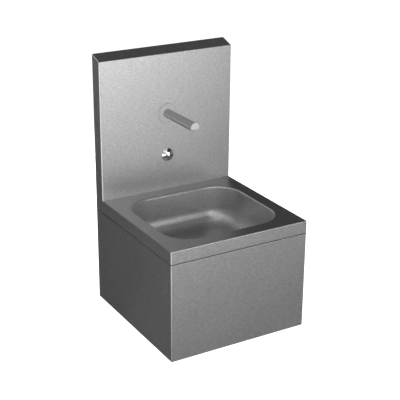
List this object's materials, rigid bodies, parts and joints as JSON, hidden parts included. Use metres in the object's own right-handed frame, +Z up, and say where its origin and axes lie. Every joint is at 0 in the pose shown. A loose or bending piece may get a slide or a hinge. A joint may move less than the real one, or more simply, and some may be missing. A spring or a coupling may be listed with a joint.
{
  "type": "hand wash sink",
  "caption": "Wall-hung stainless steel hand wash sink with pressed bowl, tall splashback, fixed spout, timed push button and a screwed-on casing over the trap.",
  "frame": {"origin": "on the wall plane, midway across, level with the bowl's rim", "axes": "+X to the right seen from the front, +Y into the wall, +Z up"},
  "size_m": [0.4, 0.42, 0.702],
  "materials": {
    "satin_steel": "satin brushed stainless steel",
    "spout_steel": "fine brushed stainless steel",
    "chrome": "polished chrome plate",
    "frame_steel": "mill-finish stainless steel",
    "fastener_steel": "bright stainless steel",
    "strainer_steel": "polished stainless steel",
    "spring_steel": "drawn stainless wire",
    "brass": "machined brass",
    "nickel_brass": "nickel-plated brass",
    "knob_plastic": "moulded handle",
    "hose_braid": "stainless braid",
    "rubber": "moulded rubber",
    "white_plastic": "moulded polypropylene",
    "grey_plastic": "moulded acetal"
  },
  "bodies": {
    "sink": {"worktop": "satin_steel", "bowl": "satin_steel", "splashback": "satin_steel", "casing": "satin_steel", "spout": "spout_steel", "spout_rosette": "spout_steel", "rear_rail": "frame_steel", "left_bracket": "frame_steel", "right_bracket": "frame_steel", "wall_hanger": "frame_steel", "splash_hook": "frame_steel", "casing_screws": "fastener_steel", "deck_studs": "fastener_steel", "deck_nuts": "fastener_steel", "valve_studs": "fastener_steel", "valve_nuts": "fastener_steel", "spout_nut": "fastener_steel", "strainer_screw": "fastener_steel", "strainer_plate": "strainer_steel", "return_spring": "spring_steel", "valve_body": "brass", "valve_bonnet": "brass", "spout_elbow": "brass", "feed_nuts": "brass", "stop_valve_body": "nickel_brass", "stop_valve_bonnet": "nickel_brass", "hose_nuts": "nickel_brass", "hose_ferrules": "nickel_brass", "feed_pipe": "nickel_brass", "supply_hose": "hose_braid", "valve_gasket": "rubber", "stem_seal": "rubber", "spout_washer": "rubber", "hose_washers": "rubber", "strainer_seal": "rubber", "waste_seal": "rubber", "trap_inlet_washer": "rubber", "trap_neck_washer": "rubber", "trap_outlet_washer": "rubber", "trap_cup_seal": "rubber", "waste_body": "white_plastic", "trap_inlet_nut": "white_plastic", "trap_dip_tube": "white_plastic", "trap_neck_nut": "white_plastic", "trap_body": "white_plastic", "trap_cup": "white_plastic", "trap_outlet_nut": "white_plastic", "outlet_pipe": "white_plastic", "cartridge_sleeve": "grey_plastic", "flow_straightener": "grey_plastic"},
    "button": {"button_cap": "chrome", "button_stem": "spring_steel", "piston": "brass", "piston_seal": "rubber", "piston_nut": "fastener_steel"},
    "stop_handle": {"stop_valve_handle": "knob_plastic", "stop_valve_spindle": "nickel_brass", "handle_screw": "fastener_steel"}
  },
  "joints": [
    {"name": "button_press", "type": "slide", "parent": "sink", "child": "button", "axis": [0, 1, 0], "range_m": [0, 0.0055], "stiffness_N_per_m": 1500, "deforming": ["return_spring"]},
    {"name": "stop_valve_turn", "type": "hinge", "parent": "sink", "child": "stop_handle", "pos_m": [0.11, -0.06, -0.205], "axis": [0, -1, 0], "range_deg": [0, 90]}
  ]
}
